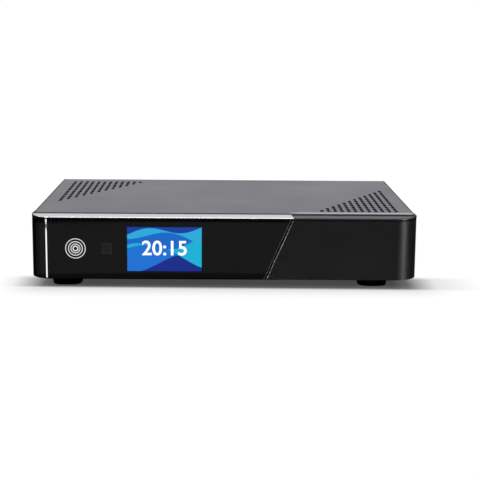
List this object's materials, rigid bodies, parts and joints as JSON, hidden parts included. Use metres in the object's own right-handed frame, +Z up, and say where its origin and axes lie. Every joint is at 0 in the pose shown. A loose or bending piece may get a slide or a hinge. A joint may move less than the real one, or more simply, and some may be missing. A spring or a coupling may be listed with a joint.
{
  "type": "satellite tv receiver",
  "caption": "Slim black set-top box with a gloss window, picture display, slotted steel cover, rear sockets, rocker switch and slide-out disk caddy.",
  "frame": {"origin": "centre of the box's outline on the surface it stands on", "axes": "+Z up, -Y out of the front panel, +X to the right seen from the front"},
  "size_m": [0.3102, 0.217, 0.0593],
  "materials": {
    "cover_steel": "satin black powder coat on steel sheet",
    "panel_steel": "fine black powder coat",
    "zinc_steel": "bare zinc-coated steel",
    "matt_moulding": "fine matt moulded black",
    "gloss_window": "piano black acrylic",
    "silver_trim": "satin silver",
    "screen": "lit colour display behind acrylic",
    "rubber_feet": "matt black rubber",
    "screws": "zinc-plated steel",
    "circuit_board": "green solder mask",
    "chip_plastic": "black moulded housing",
    "sink_aluminium": "extruded aluminium",
    "plated_metal": "nickel-plated brass",
    "tuner_metal": "tinned screening can",
    "socket_shell": "plated shell round a black insert",
    "can_sleeve": "printed sleeve",
    "ribbon": "flat white cable",
    "lead_sheath": "insulated twin lead",
    "drive_casing": "die-cast casing"
  },
  "bodies": {
    "receiver": {"chassis_base": "zinc_steel", "rear_panel": "panel_steel", "top_cover": "cover_steel", "front_bezel": "matt_moulding", "front_window": "gloss_window", "trim_strip": "silver_trim", "display_screen": "screen", "foot_front_left": "rubber_feet", "foot_front_right": "rubber_feet", "foot_rear_left": "rubber_feet", "foot_rear_right": "rubber_feet", "cover_screw_left_1": "screws", "cover_screw_right_1": "screws", "cover_screw_left_2": "screws", "cover_screw_right_2": "screws", "lcd_module": "zinc_steel", "front_board": "circuit_board", "front_board_screw_1": "screws", "front_board_screw_2": "screws", "power_touch_pad": "plated_metal", "infrared_eye": "chip_plastic", "front_ribbon": "ribbon", "main_board": "circuit_board", "board_screw_1": "screws", "board_screw_2": "screws", "board_screw_3": "screws", "board_screw_4": "screws", "processor_chip": "chip_plastic", "heat_sink": "sink_aluminium", "clock_cell": "plated_metal", "capacitor_1": "can_sleeve", "capacitor_2": "can_sleeve", "power_coil": "chip_plastic", "tuner_can": "tuner_metal", "aerial_socket_1": "plated_metal", "aerial_nut_1": "plated_metal", "aerial_socket_2": "plated_metal", "aerial_nut_2": "plated_metal", "optical_socket": "chip_plastic", "picture_socket_out": "socket_shell", "picture_socket_in": "socket_shell", "data_socket": "socket_shell", "network_socket": "socket_shell", "power_inlet": "chip_plastic", "switch_frame": "matt_moulding", "switch_lead": "lead_sheath", "module_cage": "zinc_steel", "card_reader": "chip_plastic", "disk_bay": "zinc_steel", "disk_plug": "chip_plastic", "disk_ribbon": "ribbon"},
    "caddy": {"disk_caddy": "matt_moulding", "disk_drive": "drive_casing"},
    "thumb_screw": {"caddy_thumb_screw": "plated_metal"},
    "rocker": {"power_rocker": "matt_moulding"},
    "shutter": {"optical_shutter": "matt_moulding"}
  },
  "joints": [
    {"name": "caddy_slide", "type": "slide", "parent": "receiver", "child": "caddy", "axis": [0, 1, 0], "range_m": [0, 0.1]},
    {"name": "thumb_screw_turn", "type": "hinge", "parent": "caddy", "child": "thumb_screw", "pos_m": [0.05914, 0.1, 0.01805], "axis": [0, 1, 0], "continuous": true},
    {"name": "rocker_tilt", "type": "hinge", "parent": "receiver", "child": "rocker", "pos_m": [0.04068, 0.0939, 0.0285], "axis": [-1, 0, 0], "range_deg": [0, 20]},
    {"name": "shutter_swing", "type": "hinge", "parent": "receiver", "child": "shutter", "pos_m": [-0.08188, 0.0955, 0.0238], "axis": [-1, 0, 0], "range_deg": [0, 80], "stiffness_Nm_per_rad": 0.0001, "springref_deg": -22.92}
  ]
}
